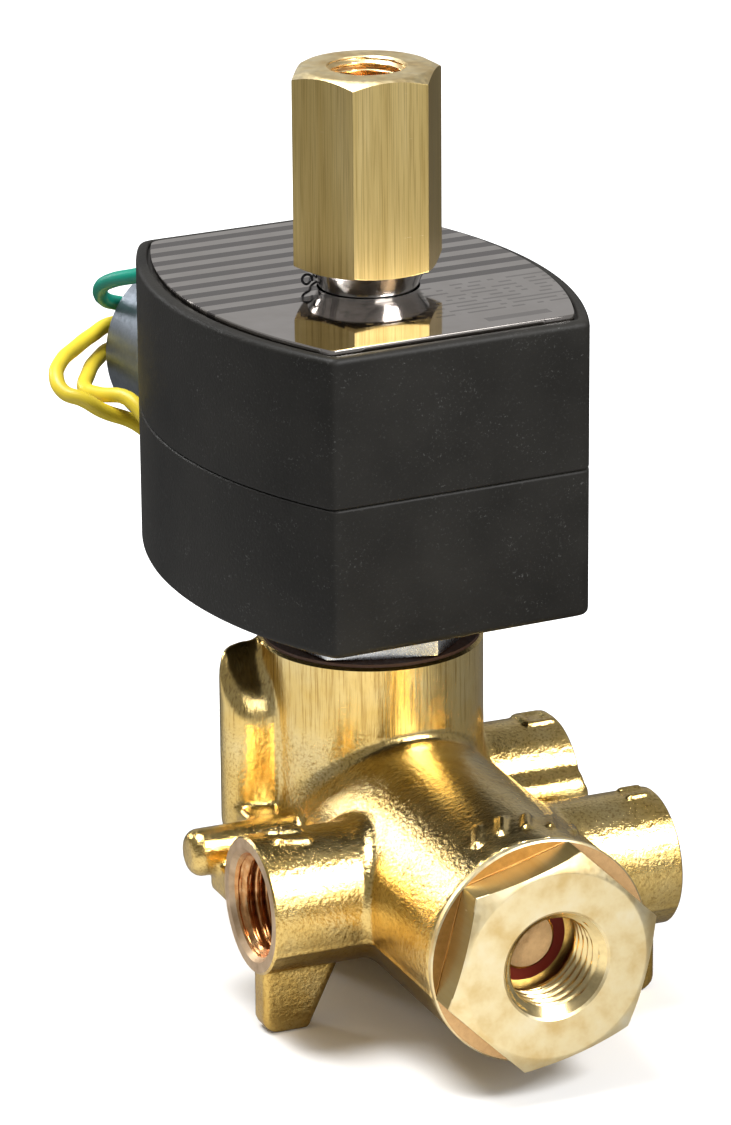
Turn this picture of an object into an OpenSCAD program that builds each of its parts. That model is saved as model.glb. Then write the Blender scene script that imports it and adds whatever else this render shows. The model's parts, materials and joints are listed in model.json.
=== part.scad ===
// Four-way direct-mounted solenoid valve: a cast brass body on feet, a sprung core and spool
// inside it, and a moulded coil housing that swivels on the core tube.
// The origin is on the floor, on the core tube's axis. +Z runs up the core tube,
// -Y runs out along the barrel, and the side ports open along -X and +X. Millimetres.

/* [Cast body] */
// Height of the barrel's axis above the floor
axis_z = 18.3; // [17:0.1:20]
// Radius of the upright column
column_r = 14.7; // [14.5:0.1:15.2]
// Radius of the barrel
barrel_r = 14.6; // [14.2:0.05:14.65]
// Height of the column's top rim
rim_z = 43.2; // [42:0.1:45]
// Height of the column's underside
column_low = 5.6; // [5:0.1:6.5]
// Length of the barrel from the core axis to its open face
barrel_len = 51.6; // [50:0.1:54]
// Radius of the spool chamber bored in the barrel
chamber_r = 9.5; // [9:0.1:10]

/* [Ports] */
// Thread radius in the four body ports, at pitch diameter
port_r = 6.2; // [6:0.05:6.4]
// Radius of the chamfered mouth of each port
mouth_r = 7.35; // [7:0.05:7.6]
// Depth of the thread in each side port
port_depth = 10.3; // [9:0.1:11]
// Radius of the round boss around each side port
boss_r = 8.9; // [8.6:0.1:9.4]
// Distance of the pressure port's face from the core axis
pressure_x = 27.3; // [26.5:0.1:28]
// Distance of the pressure port along the barrel
pressure_y = 24.4; // [23.5:0.1:25.5]
// Distance of cylinder port A's face from the core axis
port_a_x = 26.8; // [26.2:0.1:28]
// Distance of cylinder port A along the barrel
port_a_y = 29.7; // [29:0.1:30.5]
// Distance of cylinder port B's face from the core axis
port_b_x = 26.5; // [26:0.1:28]

/* [Hexagons] */
// Width across flats of the end cap
cap_af = 25.4; // [25:0.1:25.8]
// Width across flats of the exhaust adapter on top
adapter_af = 17.5; // [17:0.1:18]
// Width across flats of the solenoid base
base_af = 25; // [24.4:0.1:25.2]
// Height of the adapter's underside
adapter_z = 93.2; // [93:0.1:94]
// Length of the adapter
adapter_len = 25.9; // [25:0.1:27]

/* [Coil housing] */
// Angle at which the housing stands on the core tube
housing_turn = 3.45; // [0:0.05:6]
// Half width of the housing at its widest
housing_half = 25.3; // [25:0.1:26]
// Radius of the housing's bowed sides
side_r = 62; // [58:1:70]
// Distance of the flat front from the core axis
front_y = 26.2; // [26:0.1:27]
// Distance of the flat back from the core axis
back_y = 34.8; // [34:0.1:35.5]
// Height of the housing's underside
housing_z = 50.5; // [50.4:0.1:51]
// Height of the seam between the two shells
seam_z = 70.2; // [69:0.1:71]
// Height of the housing's top
housing_top = 89.8; // [89.4:0.1:90]
// Wall thickness of the shells
wall = 2.2; // [2:0.1:2.6]

/* [Conduit hub] */
// Outer radius of the hub
hub_r = 12.75; // [12.5:0.05:13.2]
// Thread radius inside the hub, at pitch diameter
hub_bore_r = 9.9; // [9.7:0.05:10.1]
// Distance of the hub's mouth from the core axis
hub_end_y = 55.7; // [54:0.1:57]
// Height of the hub's axis
hub_z = 67.9; // [67:0.1:69]

/* [Moving pieces] */
// Travel of the core
core_travel = 1.6; // [1.2:0.1:1.8]
// Travel of the spool
spool_travel = 2; // [1.5:0.1:2.2]
// Radius of the core
core_r = 6.55; // [6.5:0.01:6.56]
// Radius of the spool's lands
land_r = 6.96; // [6.92:0.01:6.97]

/* [Leads] */
// Diameter of each lead
lead_d = 2.1; // [2:0.1:2.1]

/* [Hidden] */
$fn = 96;

eps = 0.01;
cap_y = barrel_len + 1;        // back of the end cap's hexagon
cap_face = 57.8;               // front of the end cap
relief_y = 49.5;               // inner end of the cap's thread
seat_y = 46.5;                 // seat that the exhaust disc closes
tube_r = 7.2;                  // outside of the core tube
tube_bore_r = 6.6;
swivel_r = 7.25;               // hole that turns on the core tube
tube_low = 37;
stop_z = 70;                   // underside of the plugnut
chamber_z = 30.2;              // floor of the core chamber
sleeve_bore_r = 7;
sleeve_lip = -40.3;            // shoulder that the return spring stands on
spring_gap = 0.05;
plate_z = 90.3;                // top of the nameplate
clip_r = 7.55;                 // centreline of the clip's wire round the collar
clip_z = 90.9;
clip_wire = 0.3;
clip_eye_r = 0.85;
side_centre = side_r - housing_half;
side_mid_y = 3;
yoke_x = 20.2;                 // half sizes of the coil's steel frame
yoke_y = 13;
bar_y = 7.8;                   // cross passage boss
bar_z = 19.5;
bar_r = 3.1;
spool_back = -33.6;            // end face of the spool's last land
riser = [-16.8, 1.5];          // upright passage boss
riser_r = 3.8;
leg_y = 20.6;
leg_t = 3.9;
leg_a_y = 27.4;
rear_foot_r = 13.5;

// The leads: a flat spiral of turns for each, stacked in one coil
coil_centre = [33.6, 70.4];
coil_entry = 250;              // angle at which a lead joins the coil
coil_r = 15.8;                 // centreline of the outermost turn
coil_pitch = 2.15;
coil_turns = 4.3;
coil_floor = 0.5;
tie_turn = 150;                // where the tie stands round the coil
end_len = 6.4;                 // bared conductor
end_r = 0.55;

yellow_1_route = [
    [-3, 38.4, 69.5], [-3, 43, 69.5], [-3, 48, 69.6], [-3.6, 53, 69.8], [-5.6, 57.6, 70.3],
    [-9.2, 60.2, 70.6], [-13.2, 58.8, 69.8], [-17, 56, 69.2], [-20.4, 53, 68.6],
    [-22.4, 50, 67.4], [-22.3, 47.6, 66], [-20.4, 46, 65.2], [-17.8, 45.4, 63.4],
    [-12.8, 45.8, 60.8], [-8.5, 45.8, 56.8], [-2.8, 46.8, 52], [3.6, 48.8, 47],
    [9.2, 52, 41.5], [13.3, 56.5, 35], [15.6, 60, 27], [16.2, 61, 19.2], [16, 61.4, 12],
    [17, 60.6, 5.8], [19.4, 58.9, 2.2], [23.4, 57.3, 1.55]
];
yellow_2_route = [
    [0, 38.4, 65], [0, 43, 65], [-0.4, 48, 65.2], [-1.8, 53, 65.8], [-5, 57.6, 66.8],
    [-9.4, 59.8, 67.2], [-13.1, 57.6, 66.6], [-16, 54, 65.9], [-17.9, 50.6, 65],
    [-17, 47.8, 64.9], [-14.6, 44.3, 65], [-13.3, 41.6, 63], [-12, 40, 59.3], [-8.5, 40.4, 54],
    [-2, 42.4, 49.2], [5, 44.8, 45.6], [11, 49, 41.5], [15.2, 54.8, 35.5], [17.2, 58.8, 28],
    [18.4, 59.7, 20.4], [17.9, 60.4, 14], [18.4, 59.6, 9], [19.2, 58.4, 5.4], [21.4, 57.2, 4], [24.6, 55.9, 3.65]
];
green_route = [
    [3, 38.4, 69.5], [3, 43, 69.6], [2.4, 48, 70], [0.4, 53, 70.8], [-3.6, 57.8, 72.4],
    [-8, 59.7, 73.3], [-11.6, 57.8, 75], [-13.7, 54, 78], [-13.6, 50, 80], [-12.2, 46, 81.4],
    [-9.4, 42.8, 82.6], [-4.6, 41.4, 82.4], [1, 41.4, 82.4], [8.4, 42.6, 80],
    [12.8, 44.2, 74.4], [14.4, 45.6, 67.5], [14.4, 47, 60], [15, 48.8, 52.5],
    [16.6, 51.2, 45], [18.2, 54.4, 37.5], [19.8, 57.8, 29.5], [20.4, 59, 21.6],
    [20.4, 59.2, 16.4], [21, 58.8, 12], [22.4, 57.9, 8.2], [24.4, 57, 6.1]
];

// ---- shared shapes ----

// A cylinder along Y, from y = a to y = b, on the barrel's axis
module along_barrel(r, a, b) {
    translate([0, a, axis_z]) rotate([-90, 0, 0]) cylinder(r = r, h = b - a);
}

// A cone along Y, from radius r1 at y = a to radius r2 at y = b
module cone_barrel(r1, r2, a, b) {
    translate([0, a, axis_z]) rotate([-90, 0, 0]) cylinder(r1 = r1, r2 = r2, h = b - a);
}

// A cylinder along X, from x = a to x = b
module across(r, a, b, y, z) {
    translate([a, y, z]) rotate([0, 90, 0]) cylinder(r = r, h = b - a);
}

module upright(r, a, b) {
    translate([0, 0, a]) cylinder(r = r, h = b - a);
}

module washer(outer, inner, a, b) {
    difference() {
        upright(outer, a, b);
        upright(inner, a - 1, b + 1);
    }
}

// A ring of round wire
module o_ring(r, wire) {
    rotate_extrude() translate([r, 0]) circle(r = wire, $fn = 32);
}

// A hexagonal bar with both ends turned to a chamfer. drop is the chamfer's depth.
module hex_bar(af, h, drop_low, drop_high) {
    corner = af / sqrt(3);
    flat = af / 2;
    intersection() {
        cylinder(r = corner, h = h, $fn = 6);
        rotate_extrude() polygon([
            [0, 0], [flat - 0.4, 0], [corner + 0.1, drop_low + 0.06],
            [corner + 0.1, h - drop_high - 0.06], [flat - 0.4, h], [0, h]
        ]);
    }
}

// One threaded side port: mouth chamfer, thread wall and the passage behind it
module port_cut(face, side, y, passage_end) {
    translate([0, y, axis_z]) rotate([0, side * 90, 0]) {
        translate([0, 0, face - port_depth]) cylinder(r = port_r, h = port_depth + 1);
        translate([0, 0, face - 1.15]) cylinder(r1 = port_r, r2 = mouth_r + eps, h = 1.16);
        translate([0, 0, passage_end]) cylinder(r = 3.6, h = face - passage_end - 5);
    }
}

// The housing's outline, drawn in by the given amount
module housing_outline(inset, front, back) {
    intersection() {
        translate([-side_centre, side_mid_y]) circle(r = side_r - inset, $fn = 360);
        translate([side_centre, side_mid_y]) circle(r = side_r - inset, $fn = 360);
        translate([-40, -front]) square([80, front + back]);
    }
}

module housing_slab(inset, a, b) {
    translate([0, 0, a]) linear_extrude(b - a)
        housing_outline(inset, front_y - inset, back_y - inset);
}

// Whatever is fixed to the housing stands at the housing's angle
module on_housing() {
    rotate([0, 0, housing_turn]) children();
}

// ---- swept wires ----

function unit(v) = v / norm(v);
function tangent(p, i) = unit(p[min(i + 1, len(p) - 1)] - p[max(i - 1, 0)]);
function carried(n, t) = unit(n - t * (t * n));

// A round wire swept along the points p, as one closed polyhedron
module swept(p, r, sides) {
    count = len(p);
    start = carried([0.31, 0.12, 0.94], tangent(p, 0));
    normals = [
        for (i = 0, n = start; i < count;
             i = i + 1, n = i < count ? carried(n, tangent(p, i)) : n) n
    ];
    rings = [
        for (i = [0:count - 1], k = [0:sides - 1])
            let (n = normals[i], b = cross(tangent(p, i), n), a = 360 * k / sides)
            p[i] + r * (cos(a) * n + sin(a) * b)
    ];
    walls = [
        for (i = [0:count - 2], k = [0:sides - 1])
            let (a = i * sides + k, b = i * sides + (k + 1) % sides)
            [a, a + sides, b + sides, b]
    ];
    low = [[for (k = [0:sides - 1]) k]];
    high = [[for (k = [sides - 1:-1:0]) (count - 1) * sides + k]];
    polyhedron(points = rings, faces = concat(low, walls, high), convexity = 8);
}

// A compression spring that stands on z = 0, with its end turns closed
module spring(r, wire, height, turns) {
    steps = 18;
    rise = height - 2 * wire;
    ease = function (u) u < 0.12 ? 0.3 * u : u > 0.88 ? 1 - 0.3 * (1 - u)
        : 0.036 + (u - 0.12) * 0.928 / 0.76;
    swept([
        for (i = [0:turns * steps])
            let (a = 360 * i / steps, u = i / (turns * steps))
            [r * cos(a), r * sin(a), wire + rise * ease(u)]
    ], wire, 8);
}

// ---- fixed pieces of the valve ----

module leg(side, y, outer) {
    profile = [
        [outer, 1.2], [outer, axis_z - 4], [outer - 13, axis_z - 4], [outer - 11, 8.6],
        [outer - 6.9, 1], [outer - 6.1, 0.3], [outer - 5.2, 0], [outer - 1.2, 0],
        [outer - 0.35, 0.35]
    ];
    translate([0, -y, 0]) rotate([90, 0, 0]) linear_extrude(leg_t)
        polygon([for (p = profile) [side * p.x, p.y]]);
}

module body_casting() {
    upright(column_r, column_low + 0.8, rim_z - 0.5);
    translate([0, 0, rim_z - 0.5]) cylinder(r1 = column_r, r2 = column_r - 0.35, h = 0.5);
    translate([0, 0, column_low]) cylinder(r1 = column_r - 0.8, r2 = column_r, h = 0.8);
    along_barrel(barrel_r, -barrel_len, 0);
    across(boss_r, -pressure_x, 0, -pressure_y, axis_z);
    across(boss_r, 0, port_a_x, -port_a_y, axis_z);
    across(boss_r, 0, port_b_x, 0, axis_z);
    // cross passage boss, domed at both ends
    across(bar_r, -26.2, 24.1, -bar_y, bar_z);
    translate([-26.2, -bar_y, bar_z]) sphere(r = bar_r);
    translate([24.1, -bar_y, bar_z]) sphere(r = bar_r);
    // upright passage boss, domed, with the web that joins it to the column
    translate([riser.x, riser.y, bar_z]) cylinder(r = riser_r, h = 20);
    translate([riser.x, riser.y, bar_z + 20]) sphere(r = riser_r);
    translate([riser.x, riser.y - riser_r + 0.3, bar_z]) cube([8, 2 * riser_r - 0.6, 19]);
    translate([riser.x - 3, -bar_y, bar_z - bar_r + 0.4])
        cube([8, bar_y + riser.y, 2 * bar_r - 0.8]);
    // rib between the cross boss and the pressure port
    translate([-26, -pressure_y + 5, 14.1]) cube([22, 12.4, 4.7]);
    leg(-1, leg_y, 25.5);
    leg(1, leg_a_y, 26.4);
    intersection() {
        upright(rear_foot_r, 0, column_low + 1);
        translate([-20, -3, 0]) cube([40, 30, 20]);
    }
}

module valve_body() {
    color("goldenrod") difference() {
        body_casting();
        upright(10.2, tube_low - 1, rim_z + 1);
        upright(7.6, chamber_z, tube_low);
        upright(3, 20, chamber_z + 1);
        along_barrel(chamber_r, -barrel_len - 1, 8);
        along_barrel(11.2, -barrel_len - 1, -barrel_len + 1.4);
        port_cut(pressure_x, -1, -pressure_y, 5);
        port_cut(port_a_x, 1, -port_a_y, 5);
        port_cut(port_b_x, 1, 0, 5);
        // pilot passages: up the riser, across to the core chamber and into the barrel
        translate([riser.x, riser.y, bar_z]) cylinder(r = 1.1, h = 14, $fn = 48);
        across(0.9, riser.x, -5, riser.y, 33);
        across(0.9, riser.x - 0.5, -8, -bar_y, bar_z);
        translate([riser.x, riser.y, bar_z + 0.6]) rotate([90, 0, 0])
            cylinder(r = 1, h = bar_y + riser.y, $fn = 48);
    }
}

module end_cap() {
    color("khaki") difference() {
        union() {
            translate([0, -cap_y, axis_z]) rotate([90, 0, 0]) rotate([0, 0, 15.05])
                hex_bar(cap_af, cap_face - cap_y, 0.01, 1.1);
            along_barrel(column_r, -cap_y, -barrel_len);
            along_barrel(chamber_r - 0.1, -barrel_len, -41.8);
        }
        along_barrel(port_r, -cap_face - 1, -relief_y + eps);
        cone_barrel(mouth_r - 0.1, port_r, -cap_face - eps, -cap_face + 1.1);
        along_barrel(6.7, -relief_y, -seat_y);
        along_barrel(4, -seat_y - eps, -44.5 + eps);
        along_barrel(6.7, -44.5, -41);
    }
}

module end_cap_seal() {
    color("darkred") translate([0, -barrel_len + 0.72, axis_z]) rotate([90, 0, 0])
        o_ring(10.36, 0.68);
}

module spool_sleeve() {
    color("peru") difference() {
        along_barrel(chamber_r - 0.05, -41.5, 7.6);
        along_barrel(sleeve_bore_r, sleeve_lip, 4.8);
        along_barrel(3.4, -42, -40);
        along_barrel(1.1, 4, 9);
        for (y = [-38.9, -18, -9.5, 5.9]) {
            difference() {
                along_barrel(chamber_r + 1, y - 0.7, y + 0.7);
                along_barrel(8.15, y - 1, y + 1);
            }
        }
        across(2.4, -12, 0, -pressure_y, axis_z);
        across(2.4, 0, 12, -port_a_y, axis_z);
        across(2.4, 0, 12, 0, axis_z);
    }
}

module sleeve_seals() {
    color("black") for (y = [-38.9, -18, -9.5, 5.9])
        translate([0, y, axis_z]) rotate([90, 0, 0]) o_ring(8.8, 0.6);
}

module pilot_seat() {
    color("darkgoldenrod") difference() {
        union() {
            upright(2.95, 27.9, chamber_z);
            upright(5.4, chamber_z, 31.4);
            translate([0, 0, 31.4]) cylinder(r1 = 3, r2 = 1.8, h = 2);
        }
        upright(1, 27, 34);
    }
}

module body_gasket() {
    color("saddlebrown") washer(14.25, 10.3, rim_z, rim_z + 0.5);
}

module solenoid_base() {
    color("silver") difference() {
        union() {
            translate([0, 0, rim_z + 0.5]) rotate([0, 0, -76.4])
                hex_bar(base_af, 6.5, 0.01, 0.6);
            upright(10.1, tube_low + 0.3, rim_z + 0.5);
        }
        upright(tube_r + 0.02, tube_low, 52);
    }
}

module core_tube() {
    color("lightgray") washer(tube_r, tube_bore_r, tube_low + 0.3, 84);
}

module plugnut() {
    color("gainsboro") difference() {
        union() {
            upright(tube_bore_r - 0.02, stop_z, 84);
            upright(tube_r, 84, 87.4);
            upright(5.4, 87.4, adapter_z);
            upright(4.7, adapter_z, adapter_z + 9.6);
        }
        upright(1.4, stop_z - 1, adapter_z + 11);
        washer(5.85, 4.95, stop_z - 1, stop_z + 1.6);
    }
}

module shading_ring() {
    color("orangered") washer(5.83, 4.97, stop_z + 0.1, stop_z + 1.58);
}

// Spring wire that springs round the back of the collar and ends in a small upright loop
module retaining_clip() {
    arm = [for (a = [20:10:160]) [clip_r * cos(a), clip_r * sin(a), clip_z]];
    eye = [
        for (a = [-67.5:22.5:202.5])
            let (r = clip_r + 0.6 + clip_eye_r * cos(a))
            [r * cos(168), r * sin(168), clip_z + clip_eye_r * (1 + sin(a))]
    ];
    color("dimgray") swept(concat(arm, eye), clip_wire, 8);
}

module spacer_collar() {
    color("white") rotate_extrude() polygon([
        [5.45, plate_z + 0.25], [6.5, plate_z + 0.25], [6.8, plate_z + 0.4], [7, plate_z + 0.8],
        [7, adapter_z], [5.45, adapter_z]
    ]);
}

module adapter_gasket() {
    color("black") washer(4.6, 2.2, adapter_z + 9.6, adapter_z + 10.3);
}

module exhaust_adapter() {
    top = adapter_z + adapter_len;
    color("gold") difference() {
        translate([0, 0, adapter_z]) rotate([0, 0, -3.06])
            hex_bar(adapter_af, adapter_len, 0.8, 0.9);
        upright(4.75, adapter_z - 1, adapter_z + 10.3);
        upright(2.2, adapter_z + 10, top - 9);
        upright(4.75, top - 10, top + 1);
        translate([0, 0, top - 0.5]) cylinder(r1 = 4.75, r2 = 5.1, h = 0.51);
    }
}

// ---- the core, which lifts ----

module core() {
    color("slategray") difference() {
        union() {
            upright(core_r, 38, 68.2);
            upright(4.4, 34.3, 38);
        }
        upright(3.22, 33, 36);
        difference() {
            upright(4.6, 57, 69);
            upright(2.8, 56, 70);
        }
        upright(2.02, 67, 69);
        for (a = [0:120:240]) rotate([0, 0, a]) translate([core_r - 0.6, -0.8, 37])
            cube([2, 1.6, 40]);
    }
}

module core_lower_disc() {
    color("darkred") upright(3.2, 33.5, 36);
}

module core_upper_disc() {
    color("darkred") upright(2, 67, 68.3);
}

module core_spring() {
    color("silver") translate([0, 0, 57.1]) spring(3.7, 0.4, stop_z - 57.2, 7);
}

// ---- the spool, which slides along the barrel ----

module spool() {
    color("burlywood") difference() {
        union() {
            for (y = [spool_back, -22.6, -11.8, 0.2]) along_barrel(land_r, y, y + 3.2);
            along_barrel(3, spool_back, 4.3);
            along_barrel(2, -48, spool_back);
        }
        for (y = [-32, -21, -10.2]) {
            difference() {
                along_barrel(land_r + 1, y - 0.6, y + 0.6);
                along_barrel(5.9, y - 1, y + 1);
            }
        }
    }
}

module spool_seals() {
    color("darkred") for (y = [-32, -21, -10.2])
        translate([0, y, axis_z]) rotate([90, 0, 0]) o_ring(6.42, 0.5);
}

module piston_cup() {
    color("black") difference() {
        along_barrel(land_r, 3.4, 4.7);
        along_barrel(3.02, 3, 4.3);
    }
}

module exhaust_disc() {
    color("darkred") difference() {
        along_barrel(5.6, -48, -seat_y - 0.1);
        along_barrel(2.01, -49, -46);
    }
}

module disc_nut() {
    color("gold") translate([0, -48, axis_z]) rotate([90, 0, 0]) hex_bar(5.6, 1.3, 0.01, 0.4);
}

module return_spring() {
    color("silver") translate([0, sleeve_lip + spring_gap, axis_z])
        rotate([-90, 0, 0]) spring(4.9, 0.45, spool_back - sleeve_lip - 2 * spring_gap, 3);
}

// ---- the coil housing, which swivels ----

module hub_hole() {
    translate([0, 20, hub_z]) rotate([-90, 0, 0]) cylinder(r = hub_r + 0.03, h = 30);
}

module housing_base() {
    color("dimgray") on_housing() difference() {
        union() {
            housing_slab(0, housing_z, seam_z);
            difference() {
                housing_slab(wall / 2, seam_z - 1, seam_z + 1.2);
                housing_slab(wall, seam_z - 2, seam_z + 2);
            }
        }
        housing_slab(wall, housing_z + wall, seam_z + 2);
        upright(7.6, housing_z - 1, housing_z + 4);
        hub_hole();
    }
}

module housing_cover() {
    color("dimgray") on_housing() difference() {
        housing_slab(0, seam_z, housing_top);
        housing_slab(wall, seam_z - 1, housing_top - wall - 0.6);
        housing_slab(wall / 2 - 0.05, seam_z - 1, seam_z + 1.3);
        upright(7.6, housing_top - 5, housing_top + 1);
        housing_pocket();
        hub_hole();
    }
}

module housing_pocket() {
    translate([0, 0, housing_top - 0.5]) linear_extrude(2) plate_outline(1.5);
}

// The nameplate's outline, drawn in from the housing's outline
module plate_outline(inset) {
    housing_outline(inset, front_y - inset - 0.2, back_y - inset - 1);
}

module nameplate() {
    color("lightslategray") on_housing() difference() {
        translate([0, 0, housing_top - 0.5]) linear_extrude(plate_z - housing_top + 0.5)
            plate_outline(1.9);
        upright(7.1, housing_top - 2, housing_top + 2);
    }
}

module yoke() {
    color("gray") on_housing() difference() {
        union() {
            for (z = [53, 84.6]) translate([-yoke_x, -yoke_y, z]) cube([2 * yoke_x, 2 * yoke_y, 2.4]);
            for (x = [-yoke_x, yoke_x - 2]) translate([x, -yoke_y, 53]) cube([2, 2 * yoke_y, 34]);
        }
        upright(9.4, 50, 90);
    }
}

module flux_bushes() {
    color("darkgray") on_housing() {
        washer(9.35, swivel_r, 53, 60);
        washer(9.35, swivel_r, 80, 87);
    }
}

module coil_bobbin() {
    color("beige") on_housing() difference() {
        union() {
            upright(10.6, 56.2, 83.8);
            upright(17.6, 56.2, 57.6);
            upright(17.6, 82.4, 83.8);
        }
        upright(9.5, 55, 85);
    }
}

module coil_winding() {
    color("chocolate") on_housing() washer(17, 10.65, 57.7, 82.3);
}

module insulating_washers() {
    color("tan") on_housing() {
        washer(17.4, 9.5, 55.5, 56.1);
        washer(17.4, 9.5, 83.9, 84.5);
    }
}

module conduit_hub() {
    hub_low = back_y - wall - 1.6;
    color("lightsteelblue") on_housing() translate([0, 0, hub_z]) rotate([-90, 0, 0])
        difference() {
            translate([0, 0, hub_low]) {
                cylinder(r = hub_r, h = hub_end_y - hub_low);
                cylinder(r = 14.2, h = 1.5);
            }
            translate([0, 0, 39]) cylinder(r = hub_bore_r, h = 30);
            translate([0, 0, hub_end_y - 1]) cylinder(r1 = hub_bore_r, r2 = 10.8, h = 1.01);
            translate([0, 0, 20]) cylinder(r = 7, h = 30);
        }
}

module lead_bushing() {
    color("black") on_housing() translate([0, 0, hub_z]) rotate([-90, 0, 0]) difference() {
        union() {
            translate([0, 0, 33]) cylinder(r = 6.95, h = 6);
            translate([0, 0, 39]) cylinder(r = 8.2, h = 1.2);
        }
        for (c = [[-3, -1.6], [3, -1.6], [0, 2.9]]) translate([c.x, c.y, 20])
            cylinder(r = lead_d / 2 + 0.03, h = 40, $fn = 48);
    }
}

// ---- the leads ----

// Height of a layer's middle in the coil of leads
function layer_z(layer) = coil_floor + lead_d * (layer + 0.5);

// A point on a lead's flat spiral, the given number of turns in from its outer end
function spiral(turn, layer) = let (r = coil_r - coil_pitch * turn, a = coil_entry + 360 * turn)
    [coil_centre.x + r * cos(a), coil_centre.y + r * sin(a), layer_z(layer)];

module lead_tube(route, layer) {
    on_housing() swept(concat(route, [spiral(0, layer)]), lead_d / 2, 8);
}

module lead_coil(layer) {
    on_housing() translate([coil_centre.x, coil_centre.y, coil_floor + lead_d * layer])
        difference() {
            cylinder(r = coil_r + lead_d / 2, h = lead_d);
            translate([0, 0, -1])
                cylinder(r = coil_r - coil_pitch * coil_turns - lead_d / 2, h = lead_d + 2);
        }
}

// The bared conductor, bent inward from the spiral's inner end
module lead_end(layer) {
    tip = spiral(coil_turns, layer);
    onward = unit(tip - spiral(coil_turns - 0.02, layer));
    inward = unit([coil_centre.x, coil_centre.y, tip.z] - tip);
    way = unit(0.6 * onward + 0.8 * inward);
    on_housing() translate(tip + way * 1.4) rotate([0, 0, atan2(way.y, way.x)]) rotate([0, 90, 0])
        cylinder(r = end_r, h = end_len, $fn = 32);
}

module yellow_lead_1() { color("gold") lead_tube(yellow_1_route, 0); }
module yellow_lead_2() { color("gold") lead_tube(yellow_2_route, 1); }
module green_lead() { color("seagreen") lead_tube(green_route, 2); }
module yellow_lead_1_coil() { color("gold") lead_coil(0); }
module yellow_lead_2_coil() { color("gold") lead_coil(1); }
module green_lead_coil() { color("seagreen") lead_coil(2); }
module yellow_lead_1_end() { color("orange") lead_end(0); }
module yellow_lead_2_end() { color("orange") lead_end(1); }
module green_lead_end() { color("orange") lead_end(2); }

module lead_tie() {
    inner = coil_r - coil_pitch * coil_turns - lead_d / 2;
    outer = coil_r + lead_d / 2;
    high = coil_floor + 3 * lead_d;
    color("black") on_housing() translate([coil_centre.x, coil_centre.y, 0]) rotate([0, 0, tie_turn])
        translate([0, 1, 0]) rotate([90, 0, 0]) linear_extrude(2) difference() {
            translate([inner - 1.2, 0]) square([outer - inner + 1.8, high + 0.5]);
            translate([inner - 0.7, coil_floor]) square([outer - inner + 0.8, high - coil_floor]);
        }
}

valve_body();
end_cap();
end_cap_seal();
spool_sleeve();
sleeve_seals();
pilot_seat();
body_gasket();
solenoid_base();
core_tube();
plugnut();
shading_ring();
retaining_clip();
spacer_collar();
adapter_gasket();
exhaust_adapter();
core();
core_lower_disc();
core_upper_disc();
core_spring();
spool();
spool_seals();
piston_cup();
exhaust_disc();
disc_nut();
return_spring();
housing_base();
housing_cover();
yoke();
coil_bobbin();
coil_winding();
flux_bushes();
insulating_washers();
nameplate();
conduit_hub();
lead_bushing();
yellow_lead_1();
yellow_lead_1_coil();
yellow_lead_1_end();
yellow_lead_2();
yellow_lead_2_coil();
yellow_lead_2_end();
green_lead();
green_lead_coil();
green_lead_end();
lead_tie();
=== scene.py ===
"""Looks of a four-way solenoid valve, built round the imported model. Lengths are metres."""
import json
import math

import bpy
import numpy as np
from mathutils import Matrix, Quaternion, Vector


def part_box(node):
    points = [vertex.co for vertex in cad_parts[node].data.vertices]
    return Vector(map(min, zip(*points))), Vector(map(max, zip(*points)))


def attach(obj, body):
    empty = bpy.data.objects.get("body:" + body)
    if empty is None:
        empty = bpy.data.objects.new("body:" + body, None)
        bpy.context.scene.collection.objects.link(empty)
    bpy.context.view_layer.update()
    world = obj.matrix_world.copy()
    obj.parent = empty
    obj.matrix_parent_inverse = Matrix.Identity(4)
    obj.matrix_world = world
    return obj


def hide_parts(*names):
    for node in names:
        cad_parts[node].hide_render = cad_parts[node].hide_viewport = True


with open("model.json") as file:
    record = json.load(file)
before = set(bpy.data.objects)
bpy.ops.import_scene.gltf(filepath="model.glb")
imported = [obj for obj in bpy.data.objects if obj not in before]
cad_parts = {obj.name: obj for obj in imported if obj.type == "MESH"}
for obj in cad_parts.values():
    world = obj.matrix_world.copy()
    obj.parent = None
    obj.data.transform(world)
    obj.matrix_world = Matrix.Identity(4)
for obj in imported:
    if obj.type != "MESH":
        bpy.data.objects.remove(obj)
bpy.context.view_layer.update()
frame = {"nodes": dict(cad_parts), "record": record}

MM = 0.001
TAU = 2 * math.pi
MOUNTS = {m["name"]: m for m in frame["record"]["mounts"]}
HUB_AXIS = Vector(MOUNTS["conduit_hub_thread"]["axis"])
TURN = math.atan2(-HUB_AXIS.x, HUB_AXIS.y)      # how far the housing stands turned on the core tube
TO_HOUSING = Matrix.Rotation(TURN, 4, "Z")
AXIS_Z = MOUNTS["end_exhaust_port"]["pos_m"][2]  # height of the barrel's axis


# ---------------------------------------------------------------- camera

def make_camera():
    """The viewing angle: from the front left and a little above."""
    azimuth, elevation, roll = math.radians(22.94), math.radians(19.136), math.radians(-0.4754)
    target = Vector((-0.0006, 0.00026, 0.05267))
    distance = 0.709815
    along = Vector((math.sin(azimuth) * math.cos(elevation),
                    math.cos(azimuth) * math.cos(elevation), -math.sin(elevation)))
    data = bpy.data.cameras.new("camera")
    data.lens = 174.4166
    data.sensor_width = 36
    data.clip_start, data.clip_end = 0.01, 50
    camera = bpy.data.objects.new("camera", data)
    bpy.context.scene.collection.objects.link(camera)
    camera.location = target - along * distance
    camera.rotation_mode = "QUATERNION"
    camera.rotation_quaternion = along.to_track_quat("-Z", "Y") @ Quaternion((0, 0, 1), roll)
    bpy.context.scene.camera = camera


# ---------------------------------------------------------------- mesh tools

def link(name, data):
    piece = bpy.data.objects.new(name, data)
    bpy.context.scene.collection.objects.link(piece)
    return piece


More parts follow.
